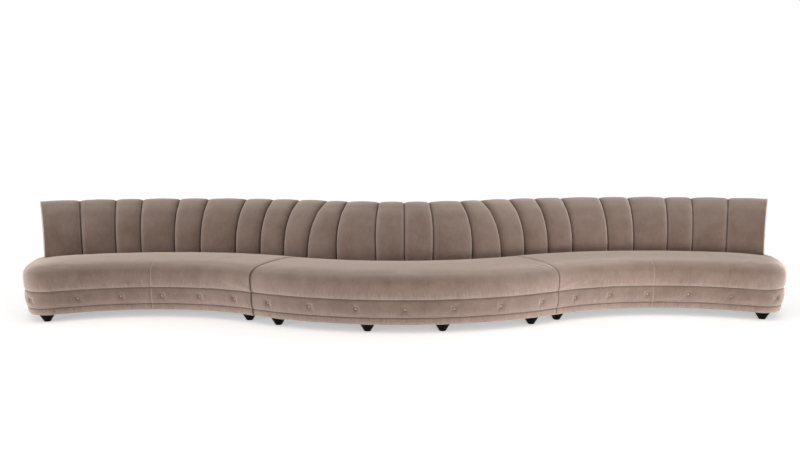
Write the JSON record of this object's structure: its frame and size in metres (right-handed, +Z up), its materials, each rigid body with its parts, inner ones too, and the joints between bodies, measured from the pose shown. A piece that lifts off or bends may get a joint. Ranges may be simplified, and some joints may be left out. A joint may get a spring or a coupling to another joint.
{
  "type": "curved sectional sofa",
  "caption": "Curved modular sofa in velvet, with a channelled back, a rounded seat on each module, a buttoned band, a plinth and small turned black feet.",
  "frame": {"origin": "on the floor, below the middle of the sofa's bounding box", "axes": "+Z up, +X to the right along the length, +Y towards the back, so that the seat faces -Y"},
  "size_m": [5.9666, 1.4902, 0.8387],
  "materials": {
    "velvet": "matte",
    "birch_ply": "satin",
    "cambric": "matte",
    "black_lacquer": "gloss",
    "zinc_steel": "satin"
  },
  "bodies": {
    "centre": {"centre_dust_cover": "cambric", "centre_base_board": "birch_ply", "centre_seat_frame": "birch_ply", "centre_seat_deck": "birch_ply", "centre_plinth_cover": "velvet", "centre_button_band": "velvet", "centre_button_row": "velvet", "centre_seat_cushion": "velvet", "centre_back_frame": "birch_ply", "centre_back_bracket": "zinc_steel", "centre_back_channels": "velvet", "centre_outer_back": "velvet", "centre_foot_front_1": "black_lacquer", "centre_foot_front_2": "black_lacquer", "centre_foot_front_3": "black_lacquer", "centre_foot_front_4": "black_lacquer", "centre_foot_rear_1": "black_lacquer", "centre_foot_rear_2": "black_lacquer", "left_connector_tongue_front": "zinc_steel", "left_connector_tongue_rear": "zinc_steel", "right_connector_tongue_front": "zinc_steel", "right_connector_tongue_rear": "zinc_steel"},
    "left": {"left_dust_cover": "cambric", "left_base_board": "birch_ply", "left_seat_frame": "birch_ply", "left_seat_deck": "birch_ply", "left_plinth_cover": "velvet", "left_button_band": "velvet", "left_button_row": "velvet", "left_seat_cushion": "velvet", "left_back_frame": "birch_ply", "left_back_bracket": "zinc_steel", "left_back_channels": "velvet", "left_outer_back": "velvet", "left_foot_front_1": "black_lacquer", "left_foot_front_2": "black_lacquer", "left_foot_rear_1": "black_lacquer", "left_foot_rear_2": "black_lacquer", "left_connector_socket_front": "zinc_steel", "left_connector_socket_rear": "zinc_steel"},
    "right": {"right_dust_cover": "cambric", "right_base_board": "birch_ply", "right_seat_frame": "birch_ply", "right_seat_deck": "birch_ply", "right_plinth_cover": "velvet", "right_button_band": "velvet", "right_button_row": "velvet", "right_seat_cushion": "velvet", "right_back_frame": "birch_ply", "right_back_bracket": "zinc_steel", "right_back_channels": "velvet", "right_outer_back": "velvet", "right_foot_front_1": "black_lacquer", "right_foot_front_2": "black_lacquer", "right_foot_rear_1": "black_lacquer", "right_foot_rear_2": "black_lacquer", "right_connector_socket_front": "zinc_steel", "right_connector_socket_rear": "zinc_steel"}
  },
  "joints": [
    {"name": "left_module_slide", "type": "slide", "parent": "centre", "child": "left", "axis": [-0.8426, 0.5385, 0], "range_m": [0, 0.3]},
    {"name": "right_module_slide", "type": "slide", "parent": "centre", "child": "right", "axis": [0.8426, 0.5385, 0], "range_m": [0, 0.3]}
  ]
}
